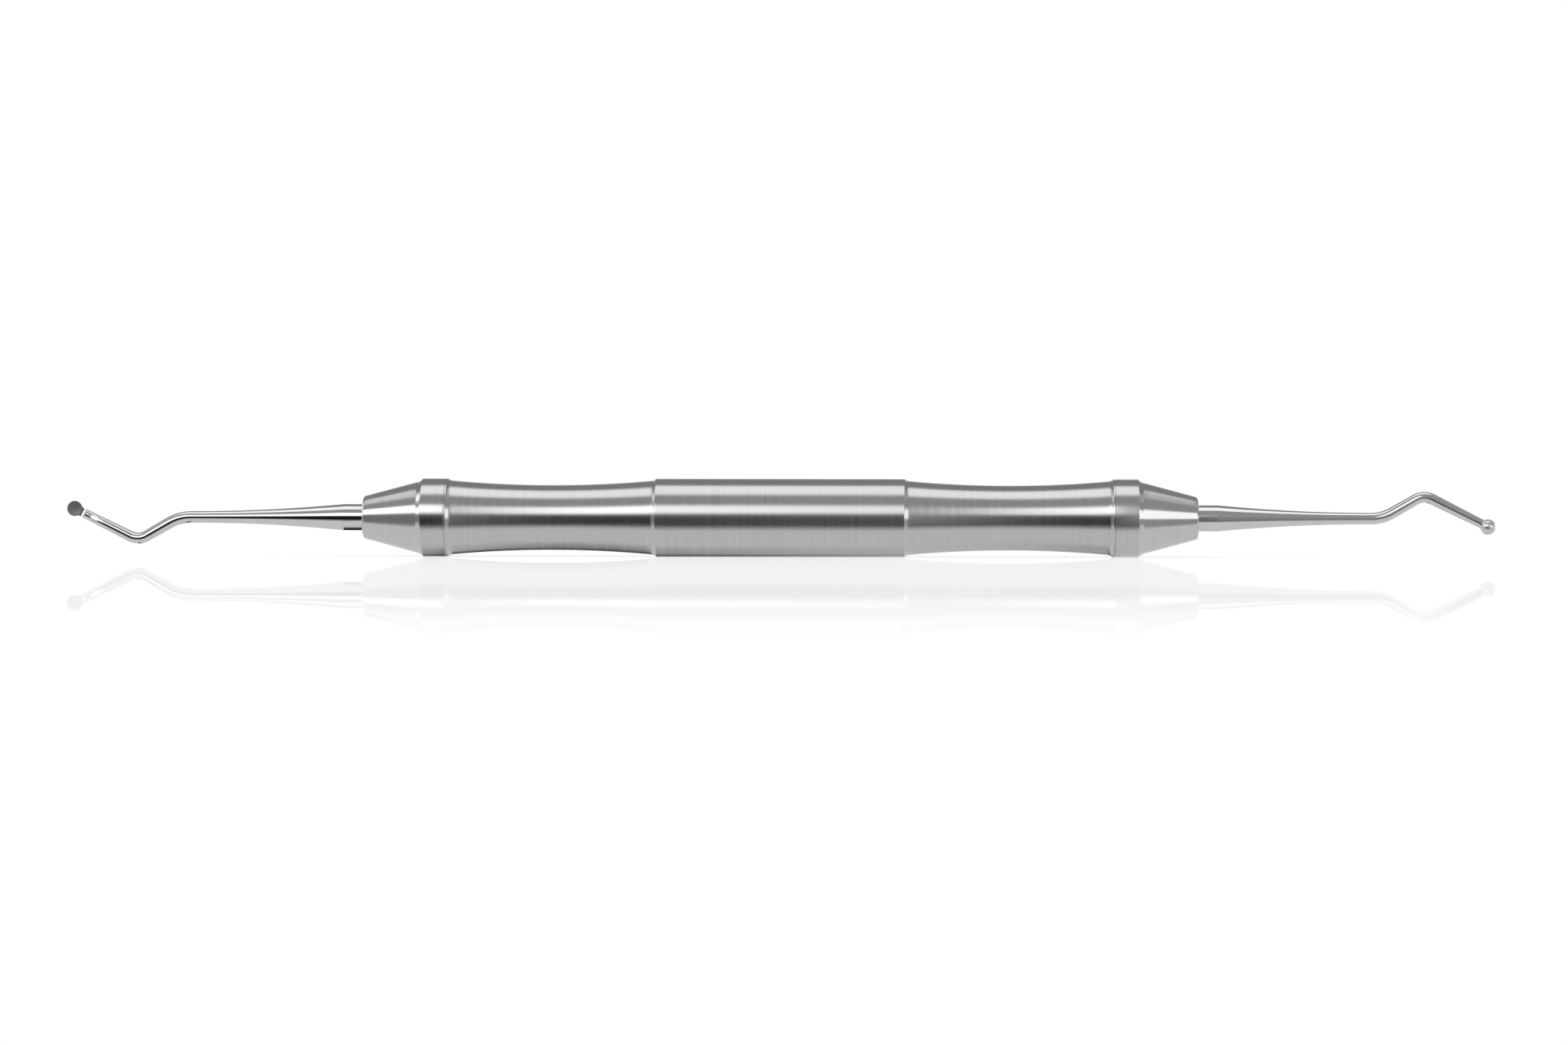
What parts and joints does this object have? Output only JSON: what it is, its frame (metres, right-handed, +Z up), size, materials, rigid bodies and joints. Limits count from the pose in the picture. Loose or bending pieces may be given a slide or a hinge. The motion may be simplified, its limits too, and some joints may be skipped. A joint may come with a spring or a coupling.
{
  "type": "dental excavator",
  "caption": "Double-ended spoon excavator: waisted round steel handle, coned collars and contra-angled tapered shanks that end in small ground spoons.",
  "frame": {"origin": "centre of the grip band at the middle of the handle, on the handle's axis", "axes": "+X along the handle towards the end whose elbow points up, +Z up in the plane that both working ends bend in, -Y towards the side that the ground face of the left spoon looks to"},
  "size_m": [0.1738, 0.0094, 0.0094],
  "materials": {
    "handle_steel": "fine satin brushing round the handle",
    "ferrule_steel": "fine satin brushing round the cone, with bright turned edges",
    "tip_steel": "polished shank and wire, matte ground spoon face"
  },
  "bodies": {
    "root": {"handle_tube": "handle_steel", "left_ferrule": "ferrule_steel", "right_ferrule": "ferrule_steel", "left_tip": "tip_steel", "right_tip": "tip_steel"}
  },
  "joints": []
}
